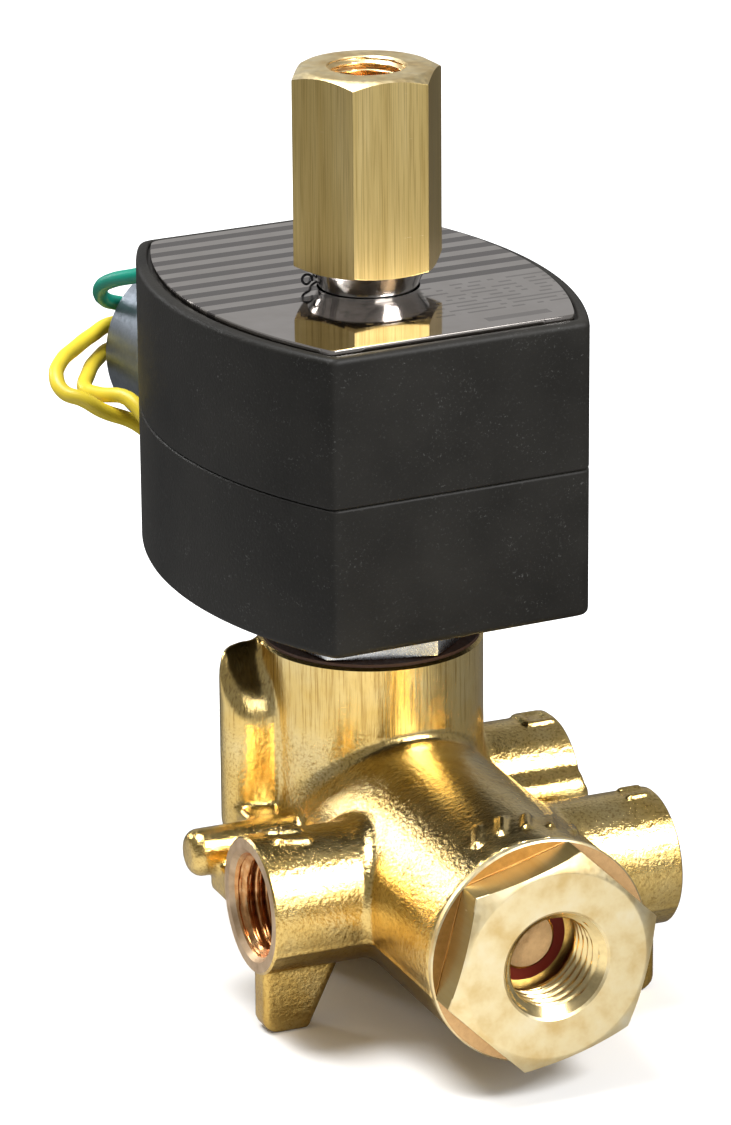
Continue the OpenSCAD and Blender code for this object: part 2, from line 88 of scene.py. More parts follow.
def smooth(mesh, angle=35):
    """Smooth faces, with the edges that turn by more than angle degrees kept sharp."""
    mesh.shade_smooth()
    mesh.set_sharp_from_angle(angle=math.radians(angle))


def from_arrays(name, points, quads):
    """A mesh piece made of arrays of points and quads."""
    mesh = bpy.data.meshes.new(name)
    mesh.from_pydata([tuple(p) for p in points.tolist()], [], [tuple(q) for q in quads.tolist()])
    mesh.update()
    return link(name, mesh)


def ring_quads(rows, around, looped):
    """The quads of a grid of rings, closed round each ring and, if looped, from the last to the first."""
    steps = rows if looped else rows - 1
    i = np.arange(steps)[:, None]
    k = np.arange(around)[None, :]
    a, b = (i % rows) * around, ((i + 1) % rows) * around
    return np.stack([a + k, a + (k + 1) % around, b + (k + 1) % around, b + k], -1).reshape(-1, 4)


def turned(name, profile, place, angles=None, looped=True):
    """A turned solid in millimetres round local Z. Each step of the profile is a radius and a height,
    and either may change round the angles. Not looped, its two ends are closed on the axis."""
    angles = np.linspace(0, TAU, 144, endpoint=False) if angles is None else angles
    count = len(angles)
    reach = np.array([np.broadcast_to(r, count) for r, h in profile])
    height = np.array([np.broadcast_to(h, count) for r, h in profile])
    points = np.stack([reach * np.cos(angles), reach * np.sin(angles), height], -1).reshape(-1, 3)
    quads = ring_quads(len(profile), count, looped).tolist()
    if not looped:
        ends = [[0, 0, height[0].mean()], [0, 0, height[-1].mean()]]
        first, last = len(points), (len(profile) - 1) * count
        points = np.vstack([points, ends])
        for k in range(count):
            n = (k + 1) % count
            quads.append([first, n, k])
            quads.append([first + 1, last + k, last + n])
    mesh = bpy.data.meshes.new(name)
    mesh.from_pydata((points * MM).tolist(), [], quads)
    mesh.transform(place)
    mesh.validate()
    outward(mesh)
    smooth(mesh)
    return link(name, mesh)


def wire(name, points, radius):
    """A round wire, its radius in millimetres, drawn smoothly through the points."""
    curve = bpy.data.curves.new(name, "CURVE")
    curve.dimensions = "3D"
    curve.bevel_depth = radius * MM
    curve.bevel_resolution = 5
    curve.resolution_u = 6
    curve.use_fill_caps = True
    spline = curve.splines.new("BEZIER")
    spline.bezier_points.add(len(points) - 1)
    for point, place in zip(spline.bezier_points, points):
        point.co = place
        point.handle_left_type = point.handle_right_type = "AUTO"
    return link(name, curve)


def outward(mesh):
    """Turns a closed mesh's faces outward."""
    mesh.calc_loop_triangles()
    co = np.empty(len(mesh.vertices) * 3)
    mesh.vertices.foreach_get("co", co)
    co = co.reshape(-1, 3)
    tri = np.empty(len(mesh.loop_triangles) * 3, int)
    mesh.loop_triangles.foreach_get("vertices", tri)
    a, b, c = (co[tri.reshape(-1, 3)[:, i]] for i in range(3))
    if np.einsum("ij,ij->", a, np.cross(b, c)) < 0:
        mesh.flip_normals()


def place_at(position, axis):
    """The place where local Z points along axis from position."""
    axis = Vector(axis)
    up = Vector((0, 0, 1)) if abs(axis.z) < 0.9 else Vector((0, 1, 0))
    side = up.cross(axis).normalized()
    cols = [side, axis.cross(side), axis]
    spin = Matrix([[cols[j][i] for j in range(3)] for i in range(3)]).to_4x4()
    return Matrix.Translation(position) @ spin


def cut(piece, cutters):
    """Takes the cutters out of the piece and removes them."""
    for cutter in cutters:
        step = piece.modifiers.new(cutter.name, "BOOLEAN")
        step.operation = "DIFFERENCE"
        step.solver = "MANIFOLD"
        step.object = cutter
    bpy.context.view_layer.update()
    graph = bpy.context.evaluated_depsgraph_get()
    made = bpy.data.meshes.new_from_object(piece.evaluated_get(graph))
    piece.modifiers.clear()
    piece.data = made
    for cutter in cutters:
        bpy.data.objects.remove(cutter)
    return piece


def done(piece, body, slot, material, *nodes):
    """Gives a finished piece its body and its finish, and hides the CAD nodes that it stands for."""
    if material is not None:
        piece.data.materials.clear()
        piece.data.materials.append(material)
    if piece.type == "MESH":
        flat = piece.modifiers.new("normals", "WEIGHTED_NORMAL")
        flat.keep_sharp = True
    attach(piece, body)
    if nodes:
        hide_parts(*nodes)
    return piece


# ---------------------------------------------------------------- hexagons and threads

HEX_AROUND = 432
QUARTER_NPT_R, QUARTER_NPT_PITCH = 6.2, 1.411    # thread radius at pitch diameter, and pitch
EIGHTH_NPT_R, EIGHTH_NPT_PITCH = 4.75, 0.941
HALF_NPT_R, HALF_NPT_PITCH = 9.9, 1.814


def hex_angles(vertex):
    """Directions round a hexagon, one of them through each vertex."""
    return math.radians(vertex) + np.linspace(0, TAU, HEX_AROUND, endpoint=False)


def hex_reach(across, vertex, angles, sharpness=420):
    """Distance to a hexagon's outline in each direction, with its corners just softened."""
    normals = math.radians(vertex + 30) + np.arange(6) * TAU / 6
    facing = np.clip(np.cos(angles[:, None] - normals[None, :]), 0, None)
    return across / 2 / np.sum(facing ** sharpness, 1) ** (1 / sharpness)


def bevelled_end(reach, flat, slope, height, way):
    """Profile steps from a chamfered end's flat face to the hexagon's sides. way is -1 at the low end."""
    inner = flat - 0.4
    drop = (reach - inner) * slope
    steps = [(inner - 0.25, height), (np.full_like(reach, inner), height - way * 0.04)]
    steps += [(inner + (reach - inner) * t, height - way * (0.04 + drop * t)) for t in (0.5, 0.97)]
    steps.append((reach, height - way * (0.04 + drop + 0.12)))
    return steps


def thread_steps(radius, pitch, start, stop, angles, mouth=None):
    """Profile steps down a pipe thread between two heights. mouth is the (radius, depth) of its chamfer."""
    depth = 0.62 * pitch
    count = int(abs(stop - start) / pitch * 12)
    steps = []
    for h in np.linspace(start, stop, count + 1):
        run = abs(h - start)
        fade = min(1, (abs(stop - h)) / (0.7 * pitch))
        reach = radius + depth / 2 * np.cos(TAU * h / pitch - angles) * fade
        if mouth and run < mouth[1]:
            reach = np.maximum(reach, mouth[0] + (radius - depth / 2 - mouth[0]) * run / mouth[1])
        steps.append((reach, h))
    return steps


# ---------------------------------------------------------------- the cast body

def round_union(a, b, radius):
    """Union of two distance fields with a fillet between them."""
    u, v = np.maximum(radius - a, 0), np.maximum(radius - b, 0)
    return np.maximum(radius, np.minimum(a, b)) - np.sqrt(u * u + v * v)


def round_meet(a, b, radius):
    """Intersection of two distance fields with a rounded edge."""
    u, v = np.maximum(radius + a, 0), np.maximum(radius + b, 0)
    return np.minimum(-radius, np.maximum(a, b)) + np.sqrt(u * u + v * v)


def rod(across, along, radius, low, high, edge):
    """A rod: across is the distance from its axis and along the place on it."""
    return round_meet(across - radius, np.maximum(low - along, along - high), edge)


def block(x, y, z, low, high, edge):
    """A box between two corners, its edges rounded."""
    half = [(b - a) / 2 - edge for a, b in zip(low, high)]
    out = [np.abs(v - (a + b) / 2) - h for v, a, b, h in zip((x, y, z), low, high, half)]
    outside = np.sqrt(sum(np.maximum(o, 0) ** 2 for o in out))
    return outside + np.minimum(np.maximum(np.maximum(out[0], out[1]), out[2]), 0) - edge


def capsule(x, y, z, start, stop, radius):
    """A round bar with round ends between two points."""
    a, b = np.array(start, float), np.array(stop, float)
    way = b - a
    t = ((x - a[0]) * way[0] + (y - a[1]) * way[1] + (z - a[2]) * way[2]) / (way @ way)
    t = np.clip(t, 0, 1)
    return np.sqrt((x - a[0] - t * way[0]) ** 2 + (y - a[1] - t * way[1]) ** 2
                   + (z - a[2] - t * way[2]) ** 2) - radius


def half_plane(x, z, points):
    """Distance to a convex outline given by its points, anticlockwise seen along +Y to -Y."""
    far = np.full(np.broadcast(x, z).shape, -1e3)
    for (x0, z0), (x1, z1) in zip(points, points[1:] + points[:1]):
        length = math.hypot(x1 - x0, z1 - z0)
        far = round_meet(far, ((x - x0) * (z1 - z0) - (z - z0) * (x1 - x0)) / length, 0.5)
    return far


COLUMN_R, BARREL_R, BOSS_R = 14.7, 14.6, 8.9
BODY_LOW, BODY_HIGH = (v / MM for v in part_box("valve_body"))
RIM_Z = BODY_HIGH.z
BARREL_END = BODY_LOW.y
CZ = AXIS_Z / MM
COLUMN_LOW = 5.6
PORTS = {name: (MOUNTS[name]["pos_m"][1] / MM, MOUNTS[name]["pos_m"][2] / MM, MOUNTS[name]["axis"][0])
         for name in ("pressure_port", "cylinder_port_a", "cylinder_port_b")}    # Y, Z and the side in X
PORT_FACE = {"pressure_port": 27.3, "cylinder_port_a": 26.8, "cylinder_port_b": 26.5}
BAR_Y, BAR_Z, BAR_R, BAR_END = -7.8, 19.5, 3.1, 27.2
RISER_X, RISER_Y, RISER_R, RISER_TOP = -16.8, 1.5, 3.8, 50    # cut off level with the rim


def leg(x, y, z, side, outer, y_low, y_high):
    """A tapered foot under a side port, on the side given by the sign of side."""
    points = [(outer - 1.2, 0), (outer, 1.2), (outer, CZ - 4), (outer - 13, CZ - 4), (outer - 6.1, 0)]
    return round_meet(half_plane(side * x, z, points), np.maximum(y_low - y, y - y_high), 0.7)


def ridge(along, across, off, start, stop):
    """A raised mark on a round surface: a short rounded bar between two places laid out on it."""
    (a0, b0), (a1, b1) = start, stop
    da, db = a1 - a0, b1 - b0
    t = np.clip(((along - a0) * da + (across - b0) * db) / (da * da + db * db), 0, 1)
    return np.sqrt((along - a0 - t * da) ** 2 + (across - b0 - t * db) ** 2 + (1.25 * off) ** 2) - MARK_R


MARK_R = 0.62
BARREL_MARKS = [((a, -47.4), (a + 1.7, -43.8)) for a in (-6.2, -2.8, 0.6, 4, 7.4)]
PORT_MARKS = {"pressure_port": [((a, 20.4), (a + 0.9, 23.8)) for a in (-2.4, 0.4, 3.2)],
              "cylinder_port_a": [((a, 23), (a, 25.2)) for a in (-1, 1.8)],
              "cylinder_port_b": [((-1.4, 22), (-1.4, 25.4)), ((-1.4, 25.4), (2.8, 25.4)),
                                  ((2.8, 25.4), (2.8, 22)), ((2.8, 22), (-1.4, 22))]}


def marks(x, y, z, from_barrel):
    """Plain raised marks on the barrel by the end cap and on the side ports by their faces."""
    around = BARREL_R * np.arctan2(x, z - CZ)
    made = np.full(x.shape, 1e3)
    for start, stop in BARREL_MARKS:
        made = np.minimum(made, ridge(around, y, from_barrel - BARREL_R, start, stop))
    for name, (py, pz, side) in PORTS.items():
        reach = np.sqrt((y - py) ** 2 + (z - pz) ** 2)
        around = BOSS_R * np.arctan2(y - py, z - pz)
        for start, stop in PORT_MARKS[name]:
            made = np.minimum(made, ridge(around, side * x, reach - BOSS_R, start, stop))
    return made


def casting(x, y, z):
    """Distance field of the body casting, in millimetres."""
    from_axis = np.sqrt(x * x + y * y)
    column = rod(from_axis, z, COLUMN_R, COLUMN_LOW, RIM_Z + 1, 0.4)
    from_barrel = np.sqrt(x * x + (z - CZ) ** 2)
    barrel = rod(from_barrel, y, BARREL_R, BARREL_END, 0, 0.35)
    body = round_union(column, barrel, 1.3)
    for name, (py, pz, side) in PORTS.items():
        from_port = np.sqrt((y - py) ** 2 + (z - pz) ** 2)
        boss = rod(from_port, side * x, BOSS_R, -2, PORT_FACE[name] + 0.8, 0.3)
        body = round_union(body, boss, 1.2)
    from_bar = np.sqrt((y - BAR_Y) ** 2 + (z - BAR_Z) ** 2)
    bar = rod(from_bar, x, BAR_R, BODY_LOW.x, BAR_END, 1.7)
    riser = capsule(x, y, z, (RISER_X, RISER_Y, BAR_Z), (RISER_X, RISER_Y, RISER_TOP), RISER_R)
    web = block(x, y, z, (RISER_X, RISER_Y - RISER_R + 0.3, BAR_Z),
                (-5, RISER_Y + RISER_R - 0.3, 43), 1.2)
    riser = round_union(riser, web, 1.2)
    incline = ((y - RISER_Y + RISER_R - 0.5) * -0.75 + (z - 36.6) * 0.66)
    riser = round_meet(riser, incline, 2.0)
    riser = round_meet(riser, z - (RIM_Z - 0.3), 1.3)
    body = round_union(body, riser, 2.0)
    link_web = block(x, y, z, (RISER_X - 3, BAR_Y, BAR_Z - BAR_R + 0.4),
                     (RISER_X + 5, RISER_Y, BAR_Z + BAR_R - 0.4), 1)
    body = round_union(body, link_web, 0.8)
    rib = block(x, y, z, (-26, -19.4, 14.1), (-4, -7, 18.8), 0.8)
    body = round_union(body, rib, 0.8)
    body = round_union(body, bar, 0.8)
    legs = np.minimum(leg(x, y, z, -1, 25.5, -24.5, -20.6), leg(x, y, z, 1, 26.4, -31.3, -27.4))
    body = round_union(body, legs, 0.9)
    foot = round_meet(rod(from_axis, z, 13.5, 0, COLUMN_LOW + 2, 0.8), -3 - y, 0.8)
    body = round_union(body, foot, 0.8)
    body = round_union(body, marks(x, y, z, from_barrel), 0.25)
    parting = 0.16 * np.exp(-((z - CZ + 4.2) / 0.3) ** 2) * (from_axis > 16)
    return body - parting


def skin(field, low, high, step):
    """The closed surface of a distance field, as points and quads, one point in each cell it crosses."""
    axes = [np.arange(a, b + step, step) for a, b in zip(low, high)]
    grid = np.meshgrid(*axes, indexing="ij")
    value = field(*grid)
    shape = np.array(value.shape) - 1
    total = np.zeros((*shape, 3))
    hits = np.zeros(tuple(shape))
    crossings = []
    for axis in range(3):
        lower = [slice(None)] * 3
        upper = [slice(None)] * 3
        lower[axis], upper[axis] = slice(None, -1), slice(1, None)
        a, b = value[tuple(lower)], value[tuple(upper)]
        where = np.argwhere((a < 0) != (b < 0))
        fa, fb = a[tuple(where.T)], b[tuple(where.T)]
        spot = where.astype(float)
        spot[:, axis] += fa / (fa - fb)
        others = [o for o in range(3) if o != axis]
        corners = []
        for da, db in ((0, 0), (1, 0), (1, 1), (0, 1)):
            cell = where.copy()
            cell[:, others[0]] -= da
            cell[:, others[1]] -= db
            np.add.at(total, tuple(cell.T), spot)
            np.add.at(hits, tuple(cell.T), 1)
            corners.append(cell)
        crossings.append((corners, fa < 0, axis))
    used = np.argwhere(hits > 0)
    index = np.full(tuple(shape), -1)
    index[tuple(used.T)] = np.arange(len(used))
    points = total[tuple(used.T)] / hits[tuple(used.T)][:, None] * step + np.array(low)
    quads = []
    for corners, inside, axis in crossings:
        quad = np.stack([index[tuple(c.T)] for c in corners], -1)
        flip = inside == (axis == 1)
        quad[flip] = quad[flip][:, ::-1]
        quads.append(quad)
    for _ in range(3):
        value = field(*points.T)
        nudge = 0.02
        slope = np.stack([field(*(points + nudge * e).T) - value for e in np.eye(3)], -1) / nudge
        scale = np.maximum((slope ** 2).sum(1), 0.25)
        points -= np.clip(value / scale, -0.3, 0.3)[:, None] * slope
    return points, np.vstack(quads)


def port_cutter(name):
    """What is machined out of the casting at a side port: its face, thread and passage."""
    py, pz, side = PORTS[name]
    face = PORT_FACE[name]
    angles = np.linspace(0, TAU, 192, endpoint=False)
    depth, passage_r = 10.3, 3.6
    steps = thread_steps(QUARTER_NPT_R, QUARTER_NPT_PITCH, face - depth, face, angles)
    steps = [(np.maximum(r, 7.35 - max(face - h, 0)), h) for r, h in steps]
    steps = [(passage_r, 5), (passage_r, face - depth - 0.02)] + steps
    steps += [(7.42, face), (8.65, face), (8.95, face - 0.3), (10.6, face - 0.3), (10.6, face + 4),
              (3, face + 4)]
    place = place_at((0, py * MM, pz * MM), (side, 0, 0))
    return turned("cut_" + name, steps, place, angles, looped=False)


def bore_cutter(name, steps, place):
    return turned("cut_" + name, steps, place, np.linspace(0, TAU, 128, endpoint=False), looped=False)


def make_body(cast, machined, threaded):
    margin = 1.5
    low = [v - margin for v in BODY_LOW]
    high = [v + margin + 0.5 for v in BODY_HIGH]
    points, quads = skin(casting, low, high, 0.45)
    piece = from_arrays("body_casting", points * MM, quads)
    outward(piece.data)
    for material in (cast, machined, threaded):
        piece.data.materials.append(material)
    along = place_at((0, 0, AXIS_Z), (0, -1, 0))
    upward = Matrix.Identity(4)
    cutters = [port_cutter(name) for name in PORTS]
    cutters.append(bore_cutter("chamber", [(9.5, -8), (9.5, -BARREL_END - 1.4),
                                           (11.2, -BARREL_END - 1.4), (11.2, -BARREL_END + 2)], along))
    cutters.append(bore_cutter("column", [(3, 20), (3, 30.2), (7.6, 30.2), (7.6, 36), (10.2, 36),
                                          (10.2, RIM_Z), (14.3, RIM_Z), (14.8, RIM_Z - 0.45),
                                          (15, RIM_Z - 0.45), (15, RIM_Z), (23, RIM_Z),
                                          (23, RIM_Z + 4), (3, RIM_Z + 4)], upward))
    cut(piece, cutters)
    smooth(piece.data, 40)
    sort_finish(piece.data)
    return done(piece, "valve", "cast_brass", None, "valve_body")


def sort_finish(mesh):
    """Machined faces are slot 1 and thread walls slot 2."""
    for face in mesh.polygons:
        x, y, z = (v / MM for v in face.center)
        for name, (py, pz, side) in PORTS.items():
            reach = math.hypot(y - py, z - pz)
            if side * x > PORT_FACE[name] - 11 and reach < 7.6:
                face.material_index = 2 if reach < 6.9 and side * x < PORT_FACE[name] - 0.6 else 1
            elif abs(side * x - PORT_FACE[name]) < 0.02 and reach < 10:
                face.material_index = 1
        if abs(z - RIM_Z) < 0.02 or math.hypot(x, y) < 10.3 and z > 20:
            face.material_index = 1
        if y < BARREL_END + 0.02:
            face.material_index = 1


# ---------------------------------------------------------------- turned pieces of the valve

def refinish(piece, material, chosen):
    """Gives the sides of the piece that are chosen another finish."""
    piece.data.materials.append(material)
    for side in piece.data.polygons:
        if chosen(side):
            side.material_index = len(piece.data.materials) - 1


def line_bore(piece, material, centre, along, reach):
    """Gives the walls of a bore along Y or Z their own finish."""
    across = [i for i in range(3) if i != along]
    middle = [centre[i] for i in across]
    refinish(piece, material,
             lambda side: math.dist([side.center[i] for i in across], middle) < reach * MM)


def make_end_cap(material, bore, flange, flats):
    low, high = (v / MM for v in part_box("end_cap"))
    face, back = -low.y, -high.y
    across, vertex = 25.4, 15.05
    angles = hex_angles(vertex)
    reach = hex_reach(across, vertex, angles)
    hex_back, flange_back = face - 5.0, face - 6.2
    thread_end, seat_face, seat_back = face - 8.3, 46.5, 44.5
    relief_r, seat_r = 6.7, 4
    profile = thread_steps(QUARTER_NPT_R, QUARTER_NPT_PITCH, face, thread_end, angles, mouth=(7.25, 1.1))
    profile += [(relief_r, thread_end), (relief_r, seat_face), (seat_r, seat_face), (seat_r, seat_back),
                (relief_r, seat_back), (relief_r, back)]
    profile += [(9.2, back), (9.4, back + 0.2), (9.4, flange_back), (14.5, flange_back)]
    profile += [(14.7, flange_back + 0.2), (14.7, hex_back - 0.3), (14.5, hex_back - 0.1)]
    profile += [(12.6, hex_back - 0.1), (reach - 0.05, hex_back), (reach, hex_back + 0.12)]
    profile += bevelled_end(reach, across / 2, 0.5, face, 1)[::-1]
    piece = turned("hex_end_cap", profile, place_at((0, 0, AXIS_Z), (0, -1, 0)), angles)
    done(piece, "valve", "machined_brass", material, "end_cap")
    line_bore(piece, bore, (0, 0, AXIS_Z), 1, 7)

    def on_flange(side):
        return abs(-side.center.y / MM - hex_back + 0.1) < 0.15 and side.normal.y < -0.9

    def on_flats(side):
        from_axis = math.hypot(side.center.x, side.center.z - AXIS_Z)
        return -side.center.y / MM > hex_back and from_axis > 12.6 * MM and abs(side.normal.y) < 0.3

    refinish(piece, flange, on_flange)
    refinish(piece, flats, on_flats)


def make_disc_washer(material):
    """The dished brass washer that holds the exhaust disc, seen down the end cap's bore."""
    seat = -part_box("disc_nut")[1].y / MM
    profile = [(0.5, seat), (3.9, seat), (3.9, seat + 0.4), (3.6, seat + 0.6), (1.2, seat + 0.2),
               (0.5, seat + 0.18)]
    piece = turned("disc_washer", profile, place_at((0, 0, AXIS_Z), (0, -1, 0)), looped=False)
    return done(piece, "spool", "drawn_brass", material, "disc_nut")


def make_adapter(material, bore, crown, foot):
    low, high = (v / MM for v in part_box("exhaust_adapter"))
    across, vertex = 17.5, -3.06
    angles = hex_angles(vertex)
    reach = hex_reach(across, vertex, angles)
    bottom, top = low.z, high.z
    thread_end, socket_end = top - 9.5, bottom + 10.3
    hole_r, socket_r = 2.2, 4.75
    profile = thread_steps(EIGHTH_NPT_R, EIGHTH_NPT_PITCH, top, thread_end, angles, mouth=(5.15, 0.7))
    profile += [(hole_r, thread_end), (hole_r, socket_end), (socket_r, socket_end), (socket_r, bottom)]
    profile += bevelled_end(reach, across / 2, 0.35, bottom, -1)
    profile += bevelled_end(reach, across / 2, 0.55, top, 1)[::-1]
    piece = turned("hex_exhaust_adapter", profile, Matrix.Identity(4), angles)
    done(piece, "valve", "drawn_brass", material, "exhaust_adapter")
    line_bore(piece, bore, (0, 0, 0), 2, 5.05)
    refinish(piece, crown, lambda side: side.center.z / MM > top - 2 and side.normal.z > 0.5)
    # Painted shade: the hexagon's underside over the nameplate gets a near-black brass colour.
    refinish(piece, foot, lambda side: side.center.z / MM < bottom + 0.3 and side.normal.z < -0.9)


def make_base_hex(material):
    low, high = (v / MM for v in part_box("solenoid_base"))
    across, vertex = 25, -76.4
    angles = hex_angles(vertex)
    reach = hex_reach(across, vertex, angles)
    seat = high.z - 6.5
    profile = [(7.22, low.z), (10.1, low.z), (10.1, seat), (12, seat)]
    profile += bevelled_end(reach, across / 2, 0.1, seat, -1)
    profile += bevelled_end(reach, across / 2, 0.4, high.z, 1)[::-1] + [(7.22, high.z)]
    piece = turned("hex_solenoid_base", profile, Matrix.Identity(4), angles)
    return done(piece, "valve", "plated_steel", material, "solenoid_base")


def make_collar(material):
    foot, top = PLATE_TOP + 0.03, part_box("spacer_collar")[1].z / MM
    flare = [(6.4 + 1.4 * t ** 1.3, foot + t * (top - 0.15 - foot)) for t in np.linspace(0, 1, 10)]
    profile = [(5.45, foot)] + flare + [(7.65, top), (5.45, top)]
    piece = turned("chrome_collar", profile, Matrix.Identity(4))
    return done(piece, "valve", "polished_steel", material, "spacer_collar")


def make_clip(material):
    """A thin spring wire round the back of the collar's foot, its end turned up into a small eye."""
    reach, height = 7.5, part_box("retaining_clip")[0].z / MM + 0.25
    line = [(reach * math.cos(a), reach * math.sin(a), height) for a in np.radians(np.arange(20, 161, 10))]
    for a in np.radians(np.arange(-67.5, 210, 22.5)):
        out = reach + 0.45 + 0.65 * math.cos(a)
        line.append((out * math.cos(math.radians(168)), out * math.sin(math.radians(168)),
                     height + 0.65 * (1 + math.sin(a))))
    piece = wire("wire_clip", [Vector(p) * MM for p in line], 0.17)
    return done(piece, "valve", "dark_steel", material, "retaining_clip")


# ---------------------------------------------------------------- the coil housing

SIDE_R, HALF, SIDE_Y, FRONT, BACK, CORNER_X = 62, 25.3, 3, 26.2, 34.8, 17.3
HOUSING_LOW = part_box("housing_base")[0].z / MM
HOUSING_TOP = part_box("housing_cover")[1].z / MM
SEAM_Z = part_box("housing_cover")[0].z / MM
PLATE_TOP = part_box("nameplate")[1].z / MM
HUB_Z = MOUNTS["conduit_hub_thread"]["pos_m"][2] / MM
HUB_R, HUB_END = 12.75, 55.7
WALL = 2.2


def housing_angles():
    """Directions round the core axis, closer together at the housing's four corners."""
    corner = [math.atan2(y, x) for y in (-FRONT, BACK) for x in (-CORNER_X, CORNER_X)]
    near = np.radians(np.linspace(-4.5, 4.5, 37))
    every = np.linspace(-math.pi, math.pi, 240, endpoint=False)
    return np.unique(np.concatenate([every] + [c + near for c in corner]).round(5))


ROUND = housing_angles()


def outline(inset, front_in=None, back_in=None):
    """Distance from the core axis to the housing's outline, drawn in, in each direction."""
    front_in = inset if front_in is None else front_in
    back_in = inset if back_in is None else back_in
    ux, uy = np.cos(ROUND), np.sin(ROUND)
    inverse = [np.clip(-uy / (FRONT - front_in), 0, None), np.clip(uy / (BACK - back_in), 0, None)]
    for side in (-1, 1):
        cx, cy = side * (SIDE_R - HALF), SIDE_Y
        along = ux * cx + uy * cy
        inverse.append(1 / (along + np.sqrt(along ** 2 - cx ** 2 - cy ** 2 + (SIDE_R - inset) ** 2)))
    power = np.where(uy > 0, 75.0, 85.0)
    largest = np.maximum.reduce(inverse)
    total = sum((i / largest) ** power for i in inverse) ** (1 / power)
    return 1 / (largest * total)


def shell(name, insets):
    """A shell that follows the housing's outline: each step is an inset, or a plain radius, and a height."""
    profile = [(outline(v) if kind == "in" else np.full(len(ROUND), float(v)), h)
               for kind, v, h in insets]
    return turned(name, profile, TO_HOUSING, ROUND)


def hub_cutter():
    place = TO_HOUSING @ place_at((0, 0, HUB_Z * MM), (0, 1, 0))
    return turned("cut_hub", [(HUB_R + 0.03, 18), (HUB_R + 0.03, 60)], place,
                  np.linspace(0, TAU, 128, endpoint=False), looped=False)


def make_housing(material):
    low, wall, hole_r = HOUSING_LOW, WALL, 7.6
    bottom = [("r", hole_r, low)] + [("in", 1.0 * (1 - math.sin(a)), low + 1.0 * (1 - math.cos(a)))
                                  for a in np.linspace(0, math.pi / 2, 6)]
    seam = [("in", 0.4 * (1 - math.cos(a)), SEAM_Z - 0.4 + 0.4 * math.sin(a))
            for a in np.linspace(0, math.pi / 2, 5)]
    inside = [("in", wall, SEAM_Z), ("in", wall, low + wall), ("r", hole_r, low + wall)]
    base = shell("housing_lower_shell", bottom + seam + inside)
    cut(base, [hub_cutter()])
    smooth(base.data, 30)
    done(base, "housing", "housing_epoxy", material, "housing_base")
    top = HOUSING_TOP
    seam = [("in", 0.4 * (1 - math.sin(a)), SEAM_Z + 0.4 * (1 - math.cos(a)))
            for a in np.linspace(0, math.pi / 2, 5)]
    crown = [("in", 0.9 * (1 - math.cos(a)), top - 0.9 + 0.9 * math.sin(a))
             for a in np.linspace(0, math.pi / 2, 7)]
    pocket = [("in", 1.35, top), ("in", 1.5, top - 0.15), ("in", 1.5, top - 0.5), ("r", hole_r, top - 0.5)]
    inside = [("r", hole_r, top - wall - 0.6), ("in", wall, top - wall - 0.6), ("in", wall, SEAM_Z)]
    cover = shell("housing_upper_shell", seam + crown + pocket + inside)
    cut(cover, [hub_cutter()])
    smooth(cover.data, 30)
    done(cover, "housing", "housing_epoxy", material, "housing_cover")


def make_nameplate(material):
    top, low = PLATE_TOP, HOUSING_TOP - 0.5
    hole_r = 6.6

    def edge(extra):
        return outline(1.9 + extra, 2.1 + extra, 2.9 + extra)

    steps = [(hole_r, low), (edge(0), low), (edge(0), top - 0.15), (edge(0.05), top - 0.05),
             (edge(0.18), top), (hole_r + 0.05, top), (hole_r, top - 0.05)]
    piece = turned("nameplate_foil", steps, TO_HOUSING, ROUND)
    return done(piece, "housing", "nameplate_foil", material, "nameplate")


def make_hub(material):
    angles = np.linspace(0, TAU, 216, endpoint=False)
    inner = 39.0
    low = BACK - WALL - 1.6
    profile = thread_steps(HALF_NPT_R, HALF_NPT_PITCH, HUB_END, inner, angles, mouth=(10.8, 1.0))
    profile += [(9.0, inner), (7, inner), (7, low), (14.2, low), (14.2, low + 1.5)]
    profile += [(HUB_R, low + 1.5), (HUB_R, HUB_END - 0.6), (HUB_R - 0.15, HUB_END - 0.2),
                (HUB_R - 0.6, HUB_END), (11.2, HUB_END)]
    place = TO_HOUSING @ place_at((0, 0, HUB_Z * MM), (0, 1, 0))
    piece = turned("zinc_conduit_hub", profile, place, angles)
    return done(piece, "housing", "zinc", material, "conduit_hub")


# ---------------------------------------------------------------- leads

